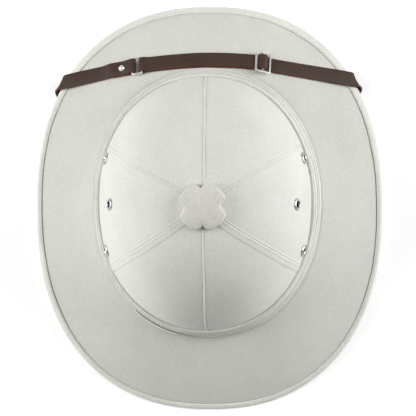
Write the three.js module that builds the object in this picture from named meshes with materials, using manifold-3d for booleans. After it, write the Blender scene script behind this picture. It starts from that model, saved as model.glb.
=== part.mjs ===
// Pith helmet: a cloth-covered sun helmet resting on its brim, with its leather chin strap
// carried over the front of the brim. Millimetres, +Z up, +Y to the front.
// The origin is on the surface that it rests on, below the middle of the brim's outline.
import * as THREE from 'three'
import { mergeVertices } from 'three/addons/utils/BufferGeometryUtils.js'
import Module from 'manifold-3d'

const wasm = await Module()
wasm.setup()

// ---- driving dimensions ----
const gap = 0.3                 // clear space between neighbouring pieces
const facetRoom = 0.5           // clear space under a flat piece laid on a curved one

const crown = {
  halfWidth: 90.4,              // outside of the wall at its base
  halfLength: 107.6,
  cornerPower: 2.12,            // 2 is an ellipse, more is squarer
  centreY: 4.6,
  apexSetback: 2.5,             // the apex sits this much behind the base's middle
  lean: 1.5,                    // its middle leans to the left by this much
  baseZ: 40,
  rise: 103,
  shoulder: 0.952,              // power that sets how soon the side turns over
  flare: 0.05,                  // share of the half width that opens out towards the brim
  ventFraction: 0.05,           // hole at the apex, as a part of the base's half width
  wall: 3,
}
const seamAngles = [30, 90, 150, 213, 270, 327]
const panelNames = ['right_front', 'left_front', 'left', 'left_back', 'right_back', 'right']

const brim = {
  halfWidth: 144.2,             // to the edge of the top surface, inside the binding
  halfLength: 169.2,
  cornerPower: 2.3,
  wall: 3,
  edgeZ: 3.56,
  seatZ: 39,
  bulge: 6,                     // how far its section bows up between edge and crown
  seatHalfWidth: 94.2,          // where its slope meets the foot of the hat band
  seatHalfLength: 111.4,
  ledge: 0.13,                  // flat ledge under the crown wall, as a part of the brim's width
  steps: 80,
}
const rimLift = { height: 7, from: 10, to: 68 }   // rise of the edge from front and back to the sides

const binding = { cloth: 1, leaf: 5, noseAngles: [12, -25, -60, -120] }

const band = {
  topClimb: 12.5,               // degrees up the crown's section
  footClimb: 0.5,
  footThickness: 3,
  topThickness: 1.5,
  pleats: 4,
  fold: 0.35,
  steps: 72,
}

const button = { lobeRadius: 17.9, notch: 4.2, notchPower: 3, height: 7.4, seat: 0.6, steps: 48 }
const post = { radius: 3, flangeRadius: 8, flange: 1.5, round: 0.6, room: 1.3 }   // room between flange and wall

const eyelet = { flangeRadius: 5, holeRadius: 2.5, barrelRadius: 3.1, height: 1.4, barrel: 3.9, sides: 18 }
const eyeletPlaces = [          // angles from the middle of the side, and degrees up the section
  { name: 'front', turn: 24.5, climb: 16.1 },
  { name: 'middle', turn: 0, climb: 31.6 },
  { name: 'back', turn: -25.5, climb: 16.1 },
]

const strap = { width: 12.6, thickness: 1.6, room: 0.8 }   // room under it on the curved brim
// the hidden stretch, with its steps close together where it turns a corner
const hiddenRows = [
  { at: 0, height: 0, steps: 3 },
  { at: 12, height: 0, steps: 10 },
  { at: 36, height: 0, steps: 11 },
  { at: 108, height: 0, steps: 22 },
]
const drillBit = { length: 12, sides: 18 }   // longer than any wall is thick
const barHalf = 0.7             // half the thickness of the ring's bars
const facetSlack = 0.1          // a little more room where facets cut a curve short
const layer = strap.thickness + gap
const foldRadius = barHalf + gap + strap.thickness / 2 + facetSlack
// middle of the strap where it crosses the front of the brim, seen from above
const frontRun = [
  { x: -114, y: 107.0 },
  { x: -87, y: 112.5 },
  { x: -60, y: 116.3 },
  { x: -40, y: 118.6 },
  { x: -14, y: 120.5 },
  { x: 0, y: 120.9 },
  { x: 13, y: 120.7 },
  { x: 26, y: 120.2 },
  { x: 45, y: 118.6 },
  { x: 59, y: 116.2 },
  { x: 86, y: 112.3 },
  { x: 113, y: 108.2 },
]
// the strap's way round the brim's edge, as turns on the left and on the right
const edgeTurn = { left: { start: 138.7, end: 142.4 }, right: { start: 41.9, end: 38.7 } }
const edgeWrap = [165, 130, 90, 50, 15]   // degrees round the edge, from underneath to the top
// the hidden way under the brim and up inside the crown: degrees back from the edge turn
const underRun = [
  { back: 6, inward: 0.2 },
  { back: 14, inward: 0.46 },
  { back: 23, inward: 0.72 },
  { back: 29.5, inward: 0.9 },
]
const cornerRun = [             // degrees round the brim's inner edge
  { back: 33.5, turn: 10 },
  { back: 37, turn: 45 },
  { back: 40.5, turn: 80 },
]
const cornerCentre = { intoWall: 2.2, height: 38.5, radius: 6.1 }
const wallRun = [
  { back: 44.5, climb: 2.6 },
  { back: 49, climb: 6.5 },
]
const runPast = { left: 30, right: 5 }    // how far each strap's guide line goes on past the ring
const ring = { length: 16.2, pitch: 8.2, x: -58.3, bar: 2 * barHalf, corner: 1.6 }
const bevel = 0.28              // on the edges of the ring and the slider
const slider = { width: 13.7, length: 19.4, bar: 1.6, thickness: 1.2, x: 45.2, corner: 1.5, hump: 0.35 }
const tail = 21                 // short end folded under behind the ring
const rivet = { fromFold: 9.3, headRadius: 2.6, headHeight: 1.5, shankRadius: 1 }
const stud = { headRadius: 4.2, head: 1.4, shankRadius: 1.8, fromEnd: 7 }

const cloth = { color: 0xd9d8cf, roughness: 0.9, metalness: 0 }
const bandCloth = { color: 0xdddcd3, roughness: 0.9, metalness: 0 }
const leather = { color: 0x4c3c34, roughness: 0.55, metalness: 0 }
const nickel = { color: 0xc9c9c6, roughness: 0.25, metalness: 1 }

// ---- helpers ----
const { lerp, clamp, smoothstep, degToRad } = THREE.MathUtils
const up = new THREE.Vector3(0, 0, 1)

const helmet = new THREE.Group()

function add(name, geometry, finish) {
  const material = new THREE.MeshStandardMaterial({
    color: finish.color,
    roughness: finish.roughness,
    metalness: finish.metalness,
  })
  const mesh = new THREE.Mesh(geometry, material)
  mesh.name = name
  helmet.add(mesh)
  return mesh
}

// one closed skin: only positions are kept, and shared corners are merged
function closed(geometry) {
  geometry.deleteAttribute('normal')
  geometry.deleteAttribute('uv')
  const merged = mergeVertices(geometry, 1e-4)
  merged.computeVertexNormals()
  return merged
}

// radius of a squared ellipse at an angle
function outline(angle, halfWidth, halfLength, power) {
  const across = Math.abs(Math.cos(angle)) / halfWidth
  const along = Math.abs(Math.sin(angle)) / halfLength
  return (across ** power + along ** power) ** (-1 / power)
}

// point, outward normal and first direction of a surface given by two numbers
function frameOn(surface, first, second) {
  const step = 1e-3
  const point = surface(first, second)
  const along = surface(first + step, second).sub(surface(first - step, second)).normalize()
  const across = surface(first, second + step).sub(surface(first, second - step))
  const normal = new THREE.Vector3().crossVectors(along, across).normalize()
  return { point, normal, along }
}

const offset = (frame, distance) => frame.point.clone().addScaledVector(frame.normal, distance)

// a box bent into place: each corner goes from its share along the three sides to a point
function bentBox(steps, place) {
  const geometry = new THREE.BoxGeometry(1, 1, 1, ...steps)
  const corners = geometry.attributes.position
  for (let corner = 0; corner < corners.count; corner++) {
    const point = place(
      corners.getX(corner) + 0.5,
      corners.getY(corner) + 0.5,
      corners.getZ(corner) + 0.5,
    )
    corners.setXYZ(corner, point.x, point.y, point.z)
  }
  return closed(geometry)
}

// a closed lathe whose section changes on its way round; sections run up on the outside
function ringFrom(sectionAt, steps) {
  const sides = sectionAt(0).length
  const round = Array.from({ length: sides + 1 }, (_, side) => {
    const turn = ((side % sides) / sides) * 2 * Math.PI
    return new THREE.Vector2(2 + Math.cos(turn), Math.sin(turn))
  })
  const geometry = new THREE.LatheGeometry(round, steps)
  const corners = geometry.attributes.position
  for (let step = 0; step <= steps; step++) {
    const section = sectionAt(((step % steps) / steps) * 2 * Math.PI)
    for (let side = 0; side <= sides; side++) {
      const point = section[side % sides]
      corners.setXYZ(step * (sides + 1) + side, point.x, point.y, point.z)
    }
  }
  return closed(geometry)
}

function toManifold(geometry) {
  return new wasm.Manifold(new wasm.Mesh({
    numProp: 3,
    vertProperties: new Float32Array(geometry.attributes.position.array),
    triVerts: new Uint32Array(geometry.index.array),
  }))
}

function fromManifold(solid) {
  const mesh = solid.getMesh()
  const geometry = new THREE.BufferGeometry()
  geometry.setAttribute('position', new THREE.BufferAttribute(new Float32Array(mesh.vertProperties), 3))
  geometry.setIndex(new THREE.BufferAttribute(new Uint32Array(mesh.triVerts), 1))
  geometry.computeVertexNormals()
  return geometry
}

// a round hole along a frame's normal, right through the wall there
function drill(solid, frame, radius) {
  const cutter = closed(new THREE.CylinderGeometry(radius, radius, drillBit.length, drillBit.sides))
  cutter.applyQuaternion(new THREE.Quaternion().setFromUnitVectors(new THREE.Vector3(0, 1, 0), frame.normal))
  cutter.translate(frame.point.x, frame.point.y, frame.point.z)
  return solid.subtract(toManifold(cutter))
}

// ---- the crown's and the brim's surfaces ----
// climb is 0 at the crown's base and a quarter turn at its apex
function crownSurface(angle, climb) {
  const height = Math.max(Math.sin(climb), 0) ** crown.shoulder
  const shrink = (1 - crown.flare) * Math.cos(climb) + crown.flare * (1 - height) ** 3
  const radius = shrink * outline(angle, crown.halfWidth, crown.halfLength, crown.cornerPower)
  const centreY = crown.centreY - crown.apexSetback * height
  return new THREE.Vector3(
    radius * Math.cos(angle) - crown.lean * 4 * height * (1 - height),
    centreY + radius * Math.sin(angle),
    crown.baseZ + crown.rise * height,
  )
}

function edgeLift(angle) {
  const fromFront = Math.abs(Math.asin(clamp(Math.cos(angle), -1, 1)))
  return rimLift.height * smoothstep(fromFront, degToRad(rimLift.from), degToRad(rimLift.to))
}

// inward is 0 at the brim's edge, 1 at the foot of the hat band and more on the ledge
function brimSurface(angle, inward) {
  const slope = Math.min(inward, 1)
  const edge = outline(angle, brim.halfWidth, brim.halfLength, brim.cornerPower)
  const seat = outline(angle, brim.seatHalfWidth, brim.seatHalfLength, crown.cornerPower)
  const radius = lerp(edge, seat, inward)
  const lift = edgeLift(angle) * (1 - slope) ** 2
  const height = lerp(brim.edgeZ, brim.seatZ, slope) + brim.bulge * slope * (1 - slope) + lift
  return new THREE.Vector3(
    radius * Math.cos(angle),
    crown.centreY * slope + radius * Math.sin(angle),
    height,
  )
}

// the turn and the share of the brim's width at a place seen from above
function onBrim(x, y) {
  let inward = 0.5
  let angle = 0
  for (let round = 0; round < 20; round++) {
    const dy = y - crown.centreY * inward
    angle = Math.atan2(dy, x)
    const edge = outline(angle, brim.halfWidth, brim.halfLength, brim.cornerPower)
    const seat = outline(angle, brim.seatHalfWidth, brim.seatHalfLength, crown.cornerPower)
    inward = (edge - Math.hypot(x, dy)) / (edge - seat)
  }
  return { frame: frameOn(brimSurface, angle, inward), inward }
}

// middle of the brim's edge, with the directions of its nose
function brimEdge(angle) {
  const frame = frameOn(brimSurface, angle, 0)
  const out = new THREE.Vector3().crossVectors(frame.along, frame.normal).normalize()
  const level = new THREE.Vector3(out.x, out.y, 0).normalize()
  return { centre: offset(frame, -brim.wall / 2), normal: frame.normal, out, level, along: frame.along }
}

// ---- crown panels, with their eyelets ----
function eyeletFrame(side, place) {
  const middle = side === 'right' ? 0 : 180
  const turn = side === 'right' ? place.turn : -place.turn
  return frameOn(crownSurface, degToRad(middle + turn), degToRad(place.climb))
}

function crownPanel(start, end) {
  const topClimb = Math.acos(crown.ventFraction)
  return bentBox([10, 12, 1], (around, climbShare, depth) => {
    const climb = topClimb * climbShare
    const middleRadius = Math.cos(climb) * (crown.halfWidth + crown.halfLength) / 2
    const inset = gap / 2 / middleRadius
    const angle = lerp(degToRad(start) + inset, degToRad(end) - inset, around)
    return offset(frameOn(crownSurface, angle, climb), crown.wall * (depth - 1))
  })
}

function addCrown() {
  panelNames.forEach((name, index) => {
    const start = seamAngles[index]
    const next = seamAngles[(index + 1) % seamAngles.length]
    const end = next > start ? next : next + 360
    let geometry = crownPanel(start, end)
    if (name === 'left' || name === 'right') {
      let solid = toManifold(geometry)
      for (const place of eyeletPlaces) {
        solid = drill(solid, eyeletFrame(name, place), eyelet.barrelRadius + gap)
      }
      geometry = fromManifold(solid)
    }
    add(`crown_panel_${name}`, geometry, cloth)
  })
}

function addEyelets() {
  const { flangeRadius, holeRadius, barrelRadius, height, barrel, sides } = eyelet
  const profile = [
    [holeRadius, -barrel],
    [barrelRadius, -barrel],
    [barrelRadius, facetRoom],
    [flangeRadius - 0.1, facetRoom],
    [flangeRadius, facetRoom + 0.35],
    [flangeRadius - 0.9, height],
    [barrelRadius + 0.2, height],
    [holeRadius, height - 0.5],
    [holeRadius, -barrel],
  ].map(([radius, z]) => new THREE.Vector2(radius, z))
  for (const side of ['left', 'right']) {
    for (const place of eyeletPlaces) {
      const frame = eyeletFrame(side, place)
      const mesh = add(`eyelet_${side}_${place.name}`, closed(new THREE.LatheGeometry(profile, sides)), nickel)
      mesh.position.copy(frame.point)
      mesh.quaternion.setFromUnitVectors(new THREE.Vector3(0, 1, 0), frame.normal)
    }
  }
}

// ---- brim and its binding ----
function addBrim() {
  const topRows = [0, 0.16, 0.36, 0.58, 0.8, 1, 1 + brim.ledge]
  add('brim', ringFrom((angle) => {
    const frames = topRows.map((inward) => frameOn(brimSurface, angle, inward))
    const top = frames.map((frame) => frame.point)
    const under = frames.map((frame) => offset(frame, -brim.wall)).reverse()
    const ledge = top[top.length - 1]
    under[0].set(ledge.x, ledge.y, ledge.z - brim.wall)
    return [...under, ...top]
  }, brim.steps), cloth)
}

function addBinding() {
  const inside = brim.wall / 2 + gap
  const outside = inside + binding.cloth
  add('brim_binding', ringFrom((angle) => {
    const edge = brimEdge(angle)
    const leafEnd = (height) => edge.centre.clone()
      .addScaledVector(edge.out, -binding.leaf)
      .addScaledVector(edge.normal, height)
    const groove = (height) => edge.centre.clone()
      .addScaledVector(edge.out, gap)
      .addScaledVector(edge.normal, height)
    const nose = binding.noseAngles.map((degrees) => edge.centre.clone()
      .addScaledVector(edge.level, outside * Math.cos(degToRad(degrees)))
      .addScaledVector(up, outside * Math.sin(degToRad(degrees))))
    const [, , heel, toe] = nose      // the flat that it rests on
    heel.z = edgeLift(angle)
    toe.z = edgeLift(angle)
    const crest = edge.centre.clone().addScaledVector(edge.normal, outside)
    return [
      leafEnd(-outside), toe, heel, nose[1], nose[0], crest, leafEnd(outside),
      leafEnd(inside), groove(inside), groove(-inside), leafEnd(-inside),
    ]
  }, brim.steps), bandCloth)
}

// ---- pleated hat band round the foot of the crown ----
function addBand() {
  const { topClimb, footClimb, footThickness, topThickness, pleats, fold, steps } = band
  add('hat_band', ringFrom((angle) => {
    const at = (share, height) => offset(
      frameOn(crownSurface, angle, degToRad(lerp(footClimb, topClimb, share))), height)
    const outer = []
    for (let pleat = 0; pleat < pleats; pleat++) {
      const low = pleat / pleats
      const high = (pleat + 1) / pleats
      const thickness = (share) => facetRoom + lerp(footThickness, topThickness, share)
      outer.push(at(low + 0.02, thickness(low) - (pleat > 0 ? fold : 0)))
      outer.push(at(high, thickness(high) + fold))
    }
    return [at(0, facetRoom), ...outer, at(1, facetRoom), at(0.5, facetRoom)]
  }, steps), bandCloth)
}

// ---- button on the apex, and the hidden post that holds it ----
function addButton() {
  const apexZ = crown.baseZ + crown.rise
  const profile = [
    [0, 0], [0.5, -0.1], [0.95, -1.1], [1, 0.7], [0.94, 3.4], [0.74, 5.7], [0.42, 7.0], [0, 7.4],
  ].map(([share, height]) => new THREE.Vector2(share, height * button.height / 7.4))
  const geometry = new THREE.LatheGeometry(profile, button.steps)
  const corners = geometry.attributes.position
  for (let corner = 0; corner < corners.count; corner++) {
    const angle = Math.atan2(corners.getX(corner), corners.getZ(corner))
    const share = Math.hypot(corners.getX(corner), corners.getZ(corner))
    const notch = button.notch * Math.abs(Math.cos(2 * angle)) ** button.notchPower
    const radius = share * (button.lobeRadius - notch * share)
    corners.setXYZ(corner, radius * Math.cos(angle), radius * Math.sin(angle), corners.getY(corner))
  }
  const cap = add('crown_button', closed(geometry), cloth)
  cap.position.set(0, crown.centreY - crown.apexSetback, apexZ + button.seat)

  const flangeTop = -crown.wall - post.room
  const flangeFoot = flangeTop - post.flange
  const postTop = button.seat - gap - facetSlack
  const postProfile = [
    [0, flangeFoot], [post.flangeRadius - post.round, flangeFoot], [post.flangeRadius, flangeFoot + post.round],
    [post.flangeRadius, flangeTop], [post.radius, flangeTop + 0.2], [post.radius, postTop], [0, postTop],
  ].map(([radius, z]) => new THREE.Vector2(radius, z))
  const stem = add('button_post', closed(new THREE.LatheGeometry(postProfile, 20)), nickel)
  stem.rotation.x = Math.PI / 2
  stem.position.set(0, crown.centreY - crown.apexSetback, apexZ)
}

// ---- chin strap ----
// a route hugs the brim: {point, normal} rows at the middle of a single layer of strap
function strapRoute(side) {
  const mirror = side === 'left' ? -1 : 1
  const turn = edgeTurn[side]
  const half = strap.thickness / 2
  const backTurn = (back) => degToRad(side === 'left' ? turn.end + back : turn.end - back)
  const rows = []
  for (const { back, climb } of [...wallRun].reverse()) {
    const frame = frameOn(crownSurface, backTurn(back), degToRad(climb))
    rows.push({ point: offset(frame, -crown.wall - strap.room - half), normal: frame.normal.clone().negate() })
  }
  for (const { back, turn: round } of [...cornerRun].reverse()) {
    const angle = backTurn(back)
    const wall = crownSurface(angle, 0)
    const out = new THREE.Vector3(Math.cos(angle), Math.sin(angle), 0)
    const centre = wall.addScaledVector(out, cornerCentre.intoWall - crown.wall).setZ(cornerCentre.height)
    const normal = out.multiplyScalar(-Math.sin(degToRad(round)))
      .addScaledVector(up, -Math.cos(degToRad(round)))
    rows.push({ point: centre.addScaledVector(normal, cornerCentre.radius), normal })
  }
  // room for the binding's leaf near the edge
  const overLeaf = (inward) => (binding.cloth + gap + facetSlack) * (1 - smoothstep(inward, 0.22, 0.42))
  for (const { back, inward } of [...underRun].reverse()) {
    const frame = frameOn(brimSurface, backTurn(back), inward)
    const depth = brim.wall + overLeaf(inward) + strap.room + half
    rows.push({ point: offset(frame, -depth), normal: frame.normal.clone().negate() })
  }
  const noseRadius = brim.wall / 2 + gap + binding.cloth + facetSlack + strap.room + half
  for (const degrees of edgeWrap) {
    const edge = brimEdge(degToRad(lerp(turn.start, turn.end, degrees / 180)))
    const normal = edge.normal.clone().multiplyScalar(Math.cos(degToRad(degrees)))
      .addScaledVector(edge.out, Math.sin(degToRad(degrees)))
    rows.push({ point: edge.centre.clone().addScaledVector(normal, noseRadius), normal })
  }
  const run = side === 'left' ? frontRun : [...frontRun].reverse()
  for (const place of run) {
    if (mirror * (ring.x - place.x) > runPast[side]) break
    const { frame, inward } = onBrim(place.x, place.y)
    rows.push({ point: offset(frame, overLeaf(inward) + strap.room + half), normal: frame.normal })
  }
  const points = new THREE.CatmullRomCurve3(rows.map((row) => row.point), false, 'centripetal')
  const normals = new THREE.CatmullRomCurve3(rows.map((row) => row.normal), false, 'catmullrom')
  points.arcLengthDivisions = 800
  const length = points.getLength()
  const at = (distance) => {
    const share = points.getUtoTmapping(clamp(distance / length, 0, 1))
    const forward = points.getTangent(share)
    const rough = normals.getPoint(share)
    const across = new THREE.Vector3().crossVectors(rough, forward).normalize()
    const normal = new THREE.Vector3().crossVectors(forward, across)
    return { point: points.getPoint(share), forward, across, normal }
  }
  // how far along the route the strap passes over an x, counted on the front of the brim
  const whereX = (x) => {
    let distance = length
    while (distance > 0 && mirror * at(distance).point.x < mirror * x) distance -= 0.05
    return distance
  }
  return { length, at, whereX }
}

// a strap along a route, its height above a single layer given by rows of distance and height
function strapAlong(route, rows) {
  const turns = rows.map((row) => new THREE.Vector3(row.at, row.height, 0))
  const path = new THREE.CatmullRomCurve3(turns, false, 'centripetal')
  const spots = []
  rows.forEach((row, index) => {
    if (index === rows.length - 1) return
    for (let step = 0; step < row.steps; step++) {
      spots.push(path.getPoint((index + step / row.steps) / (rows.length - 1)))
    }
  })
  spots.push(path.getPoint(1))
  const centres = spots.map((spot) => {
    const frame = route.at(spot.x)
    return frame.point.addScaledVector(frame.normal, spot.y)
  })
  const last = centres.length - 1
  return bentBox([last, 1, 1], (share, across, depth) => {
    const index = Math.round(share * last)
    const forward = centres[Math.min(index + 1, last)].clone().sub(centres[Math.max(index - 1, 0)]).normalize()
    const side = route.at(spots[index].x).across
    const normal = new THREE.Vector3().crossVectors(forward, side).normalize()
    return centres[index].clone()
      .addScaledVector(side, strap.width * (across - 0.5))
      .addScaledVector(normal, strap.thickness * (depth - 0.5))
  })
}

// the fold round a bar: up over it, round and back underneath
function foldRows(bar) {
  const round = [90, 45, 0, -45, -90].map((degrees) => ({
    at: bar + foldRadius * Math.cos(degToRad(degrees)),
    height: foldRadius * (1 + Math.sin(degToRad(degrees))),
    steps: 3,
  }))
  return [
    { at: bar - 12, height: layer, steps: 3 },
    { at: bar - 7, height: layer + 0.2, steps: 3 },
    { at: bar - 2.6, height: 2 * foldRadius - 0.5, steps: 3 },
    ...round,
  ]
}

// a flat wire frame round one window
function wireFrame(width, length, bar, thickness, corner) {
  const halfWidth = width / 2 - bevel
  const halfLength = length / 2 - bevel
  const outer = new THREE.Shape()
  outer.moveTo(-halfWidth + corner, -halfLength)
  for (const [x, y] of [[1, -1], [1, 1], [-1, 1], [-1, -1]]) {
    const lengthwise = x === y
    const startX = lengthwise ? x * halfWidth : x * (halfWidth - corner)
    const startY = lengthwise ? y * (halfLength - corner) : y * halfLength
    const endX = lengthwise ? x * (halfWidth - corner) : x * halfWidth
    const endY = lengthwise ? y * halfLength : y * (halfLength - corner)
    outer.lineTo(startX, startY)
    outer.quadraticCurveTo(x * halfWidth, y * halfLength, endX, endY)
  }
  const windowWidth = width / 2 - bar + bevel
  const windowLength = length / 2 - bar + bevel
  const hole = new THREE.Path()
  hole.moveTo(-windowWidth, -windowLength)
  hole.lineTo(-windowWidth, windowLength)
  hole.lineTo(windowWidth, windowLength)
  hole.lineTo(windowWidth, -windowLength)
  hole.closePath()
  outer.holes.push(hole)
  const geometry = new THREE.ExtrudeGeometry(outer, {
    depth: thickness - 2 * bevel,
    bevelEnabled: true,
    bevelThickness: bevel,
    bevelSize: bevel,
    bevelSegments: 1,
    curveSegments: 3,
  })
  geometry.translate(0, 0, -thickness / 2 + bevel)
  return closed(geometry)
}

// places a flat piece by two points on the strap's way and the direction across it
function placeBetween(mesh, start, end, across) {
  const forward = end.clone().sub(start).normalize()
  const normal = new THREE.Vector3().crossVectors(forward, across).normalize()
  const side = new THREE.Vector3().crossVectors(normal, forward)
  mesh.quaternion.setFromRotationMatrix(new THREE.Matrix4().makeBasis(forward, side, normal))
  mesh.position.copy(start).add(end).multiplyScalar(0.5)
}

function raised(frame, height) {
  return frame.point.clone().addScaledVector(frame.normal, height)
}

function addStuds(route, name) {
  const frame = route.at(stud.fromEnd)
  const half = strap.thickness / 2
  const seat = half + 2 * facetRoom
  const profile = [
    [0, -half], [stud.shankRadius, -half], [stud.shankRadius, seat],
    [stud.headRadius, seat], [stud.headRadius, seat + stud.head * 0.6],
    [stud.headRadius - 1, seat + stud.head], [0, seat + stud.head],
  ].map(([radius, z]) => new THREE.Vector2(radius, z))
  const mesh = add(name, closed(new THREE.LatheGeometry(profile, 20)), nickel)
  mesh.position.copy(frame.point)
  mesh.quaternion.setFromUnitVectors(new THREE.Vector3(0, 1, 0), frame.normal)
}

function addStraps() {
  const left = strapRoute('left')
  const right = strapRoute('right')
  const studHole = stud.shankRadius + gap

  const leftBar = left.whereX(ring.x) - ring.pitch / 2
  const leftRows = [
    ...hiddenRows,
    { at: 150, height: 0, steps: 10 },
    { at: leftBar - tail - 6, height: 0, steps: 3 },
    { at: leftBar - tail + 1, height: layer, steps: 4 },
    ...foldRows(leftBar),
    { at: leftBar - 5, height: 0, steps: 4 },
    { at: leftBar - tail + 3.5, height: 0, steps: 1 },
  ]
  let leftSolid = toManifold(strapAlong(left, leftRows))
  leftSolid = drill(leftSolid, left.at(stud.fromEnd), studHole)
  leftSolid = drill(leftSolid, left.at(leftBar - rivet.fromFold), rivet.shankRadius + gap)
  add('strap_left', fromManifold(leftSolid), leather)

  const rightBar = right.whereX(ring.x) - ring.pitch / 2
  const middle = right.whereX(slider.x)
  const pitch = (slider.width - slider.bar) / 2
  const underBar = strap.thickness / 2 + gap + slider.thickness / 2
  const sliderMiddle = underBar + layer / 2
  const over = sliderMiddle + underBar + slider.hump
  const rightRows = [
    ...hiddenRows,
    { at: 150, height: 0, steps: 8 },
    { at: middle - pitch - 2, height: 0, steps: 2 },
    { at: middle - pitch + 0.8, height: 0, steps: 4 },
    { at: middle - 1.6, height: over - 0.5, steps: 3 },
    { at: middle, height: over, steps: 3 },
    { at: middle + 1.6, height: over - 0.4, steps: 3 },
    { at: middle + pitch - 0.8, height: layer + 0.15, steps: 3 },
    { at: middle + pitch + 4, height: layer, steps: 16 },
    ...foldRows(rightBar),
    { at: rightBar - 5, height: 0, steps: 16 },
    { at: middle, height: 0, steps: 1 },
  ]
  const rightSolid = toManifold(strapAlong(right, rightRows))
  add('strap_right', fromManifold(drill(rightSolid, right.at(stud.fromEnd), studHole)), leather)

  const ringMesh = add('strap_ring', wireFrame(
    ring.pitch + ring.bar, ring.length, ring.bar, ring.bar, ring.corner), nickel)
  placeBetween(ringMesh, raised(left.at(leftBar), foldRadius), raised(right.at(rightBar), foldRadius),
    left.at(leftBar).across)

  const sliderFrame = wireFrame(slider.width, slider.length, slider.bar, slider.thickness, slider.corner)
  const middleBar = new THREE.BoxGeometry(slider.bar, slider.length - slider.bar, slider.thickness * 0.9)
  const sliderMesh = add('strap_slider', fromManifold(
    toManifold(sliderFrame).add(toManifold(closed(middleBar)))), nickel)
  placeBetween(sliderMesh, raised(right.at(middle - pitch), underBar),
    raised(right.at(middle + pitch), underBar + layer), right.at(middle).across)

  const rivetFrame = left.at(leftBar - rivet.fromFold)
  const top = layer + strap.thickness / 2 + gap
  const rivetProfile = [
    [0, -strap.thickness / 2], [rivet.shankRadius, -strap.thickness / 2], [rivet.shankRadius, top],
    [rivet.headRadius, top], [rivet.headRadius - 0.1, top + 0.4 * rivet.headHeight],
    [rivet.headRadius * 0.6, top + 0.85 * rivet.headHeight], [0, top + rivet.headHeight],
  ].map(([radius, z]) => new THREE.Vector2(radius, z))
  const rivetMesh = add('strap_rivet', closed(new THREE.LatheGeometry(rivetProfile, 20)), nickel)
  rivetMesh.position.copy(rivetFrame.point)
  rivetMesh.quaternion.setFromUnitVectors(new THREE.Vector3(0, 1, 0), rivetFrame.normal)

  addStuds(left, 'strap_stud_left')
  addStuds(right, 'strap_stud_right')
}

addCrown()
addEyelets()
addBrim()
addBinding()
addBand()
addButton()
addStraps()

export default helmet
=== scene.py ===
import math

import bmesh
import bpy
from mathutils import Matrix, Vector, noise


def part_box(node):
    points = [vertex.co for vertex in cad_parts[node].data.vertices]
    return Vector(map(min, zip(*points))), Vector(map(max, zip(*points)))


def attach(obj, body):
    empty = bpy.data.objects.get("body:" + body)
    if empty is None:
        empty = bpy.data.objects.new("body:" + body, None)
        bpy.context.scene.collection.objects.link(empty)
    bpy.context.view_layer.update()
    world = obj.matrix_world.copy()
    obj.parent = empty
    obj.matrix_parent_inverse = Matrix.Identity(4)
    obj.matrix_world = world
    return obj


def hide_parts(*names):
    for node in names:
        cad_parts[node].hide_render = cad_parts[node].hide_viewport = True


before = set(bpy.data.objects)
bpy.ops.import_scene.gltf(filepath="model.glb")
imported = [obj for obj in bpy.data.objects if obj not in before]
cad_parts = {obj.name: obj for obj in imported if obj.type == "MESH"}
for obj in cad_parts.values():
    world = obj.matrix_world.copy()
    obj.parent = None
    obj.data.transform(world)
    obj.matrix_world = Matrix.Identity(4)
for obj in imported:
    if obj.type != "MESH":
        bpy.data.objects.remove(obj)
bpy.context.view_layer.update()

MM = 0.001

# ---- sizes of the helmet, from the frame where it gives them ----
brim_low, brim_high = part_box("brim")
right_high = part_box("crown_panel_right")[1]
left_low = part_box("crown_panel_left")[0]
front_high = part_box("crown_panel_left_front")[1]
back_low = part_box("crown_panel_left_back")[0]

BRIM_HALF_WIDTH = (brim_high.x - brim_low.x) / 2
BRIM_HALF_LENGTH = (brim_high.y - brim_low.y) / 2
BRIM_POWER = 2.3                # 2 is an ellipse, more is squarer
BRIM_WALL = 3 * MM
BRIM_EDGE = 3.56 * MM           # height of the edge at the front and the back
BRIM_SEAT = brim_high.z
BRIM_BULGE = 6 * MM             # sets how far its slope is arched
BRIM_LEDGE = 0.13               # how far it goes on under the band, as a part of its slope
EDGE_LIFT = 7 * MM              # how far the edge rises at the sides
LIFT_FROM = math.radians(10)    # measured sideways from the front and the back
LIFT_TO = math.radians(68)

CROWN_HALF_WIDTH = (right_high.x - left_low.x) / 2
CROWN_HALF_LENGTH = (front_high.y - back_low.y) / 2
CROWN_CENTRE = (front_high.y + back_low.y) / 2
CROWN_POWER = 2.12
CROWN_BASE = BRIM_SEAT + 1 * MM
CROWN_RISE = front_high.z - CROWN_BASE + 0.12 * MM
CROWN_LEAN = 1.5 * MM           # its middle leans to the left
APEX_SETBACK = 2.5 * MM         # the apex lies this far behind the middle of the base
SHOULDER = 0.952                # below 1 it fills out the crown halfway up
FLARE = 0.05                    # how far the foot of the crown flares, as a part of its radius
CROWN_WALL = 3 * MM
TOP_CLIMB = math.acos(0.05)     # the panels end here, under the button
BAND_FOOT = 3.8 * MM            # from the crown wall to the foot of the hat band

# angle: degrees round from the right; toward: the side its folded edge lies on, 1 is counterclockwise;
# fold: where its ridge stands; ridge, groove and felled: how high or deep they are.
# The last four are in millimetres.
SEAM_COLUMNS = ("angle", "toward", "fold", "ridge", "groove", "felled")
SEAM_ROWS = {
    "right_front": (30, 1, -0.8, 0.16, 0.08, 0.16),
    "front": (90, -1, 0.85, 0.46, 0.1, 0.2),
    "left_front": (150, -1, -0.8, 0.16, 0.08, 0.16),
    "left_back": (213, 1, -0.8, 0.24, 0.03, 0.42),
    "back": (270, 1, 0.85, 0.4, 0.08, 0.25),
    "right_back": (327, -1, -0.8, 0.24, 0.03, 0.42),
}
SEAMS = {name: dict(zip(SEAM_COLUMNS, row)) for name, row in SEAM_ROWS.items()}
PANELS = {   # the seams at a panel's two sides, counterclockwise
    "right_front": ("right_front", "front"),
    "left_front": ("front", "left_front"),
    "left": ("left_front", "left_back"),
    "left_back": ("left_back", "back"),
    "right_back": ("back", "right_back"),
    "right": ("right_back", "right_front"),
}
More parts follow.
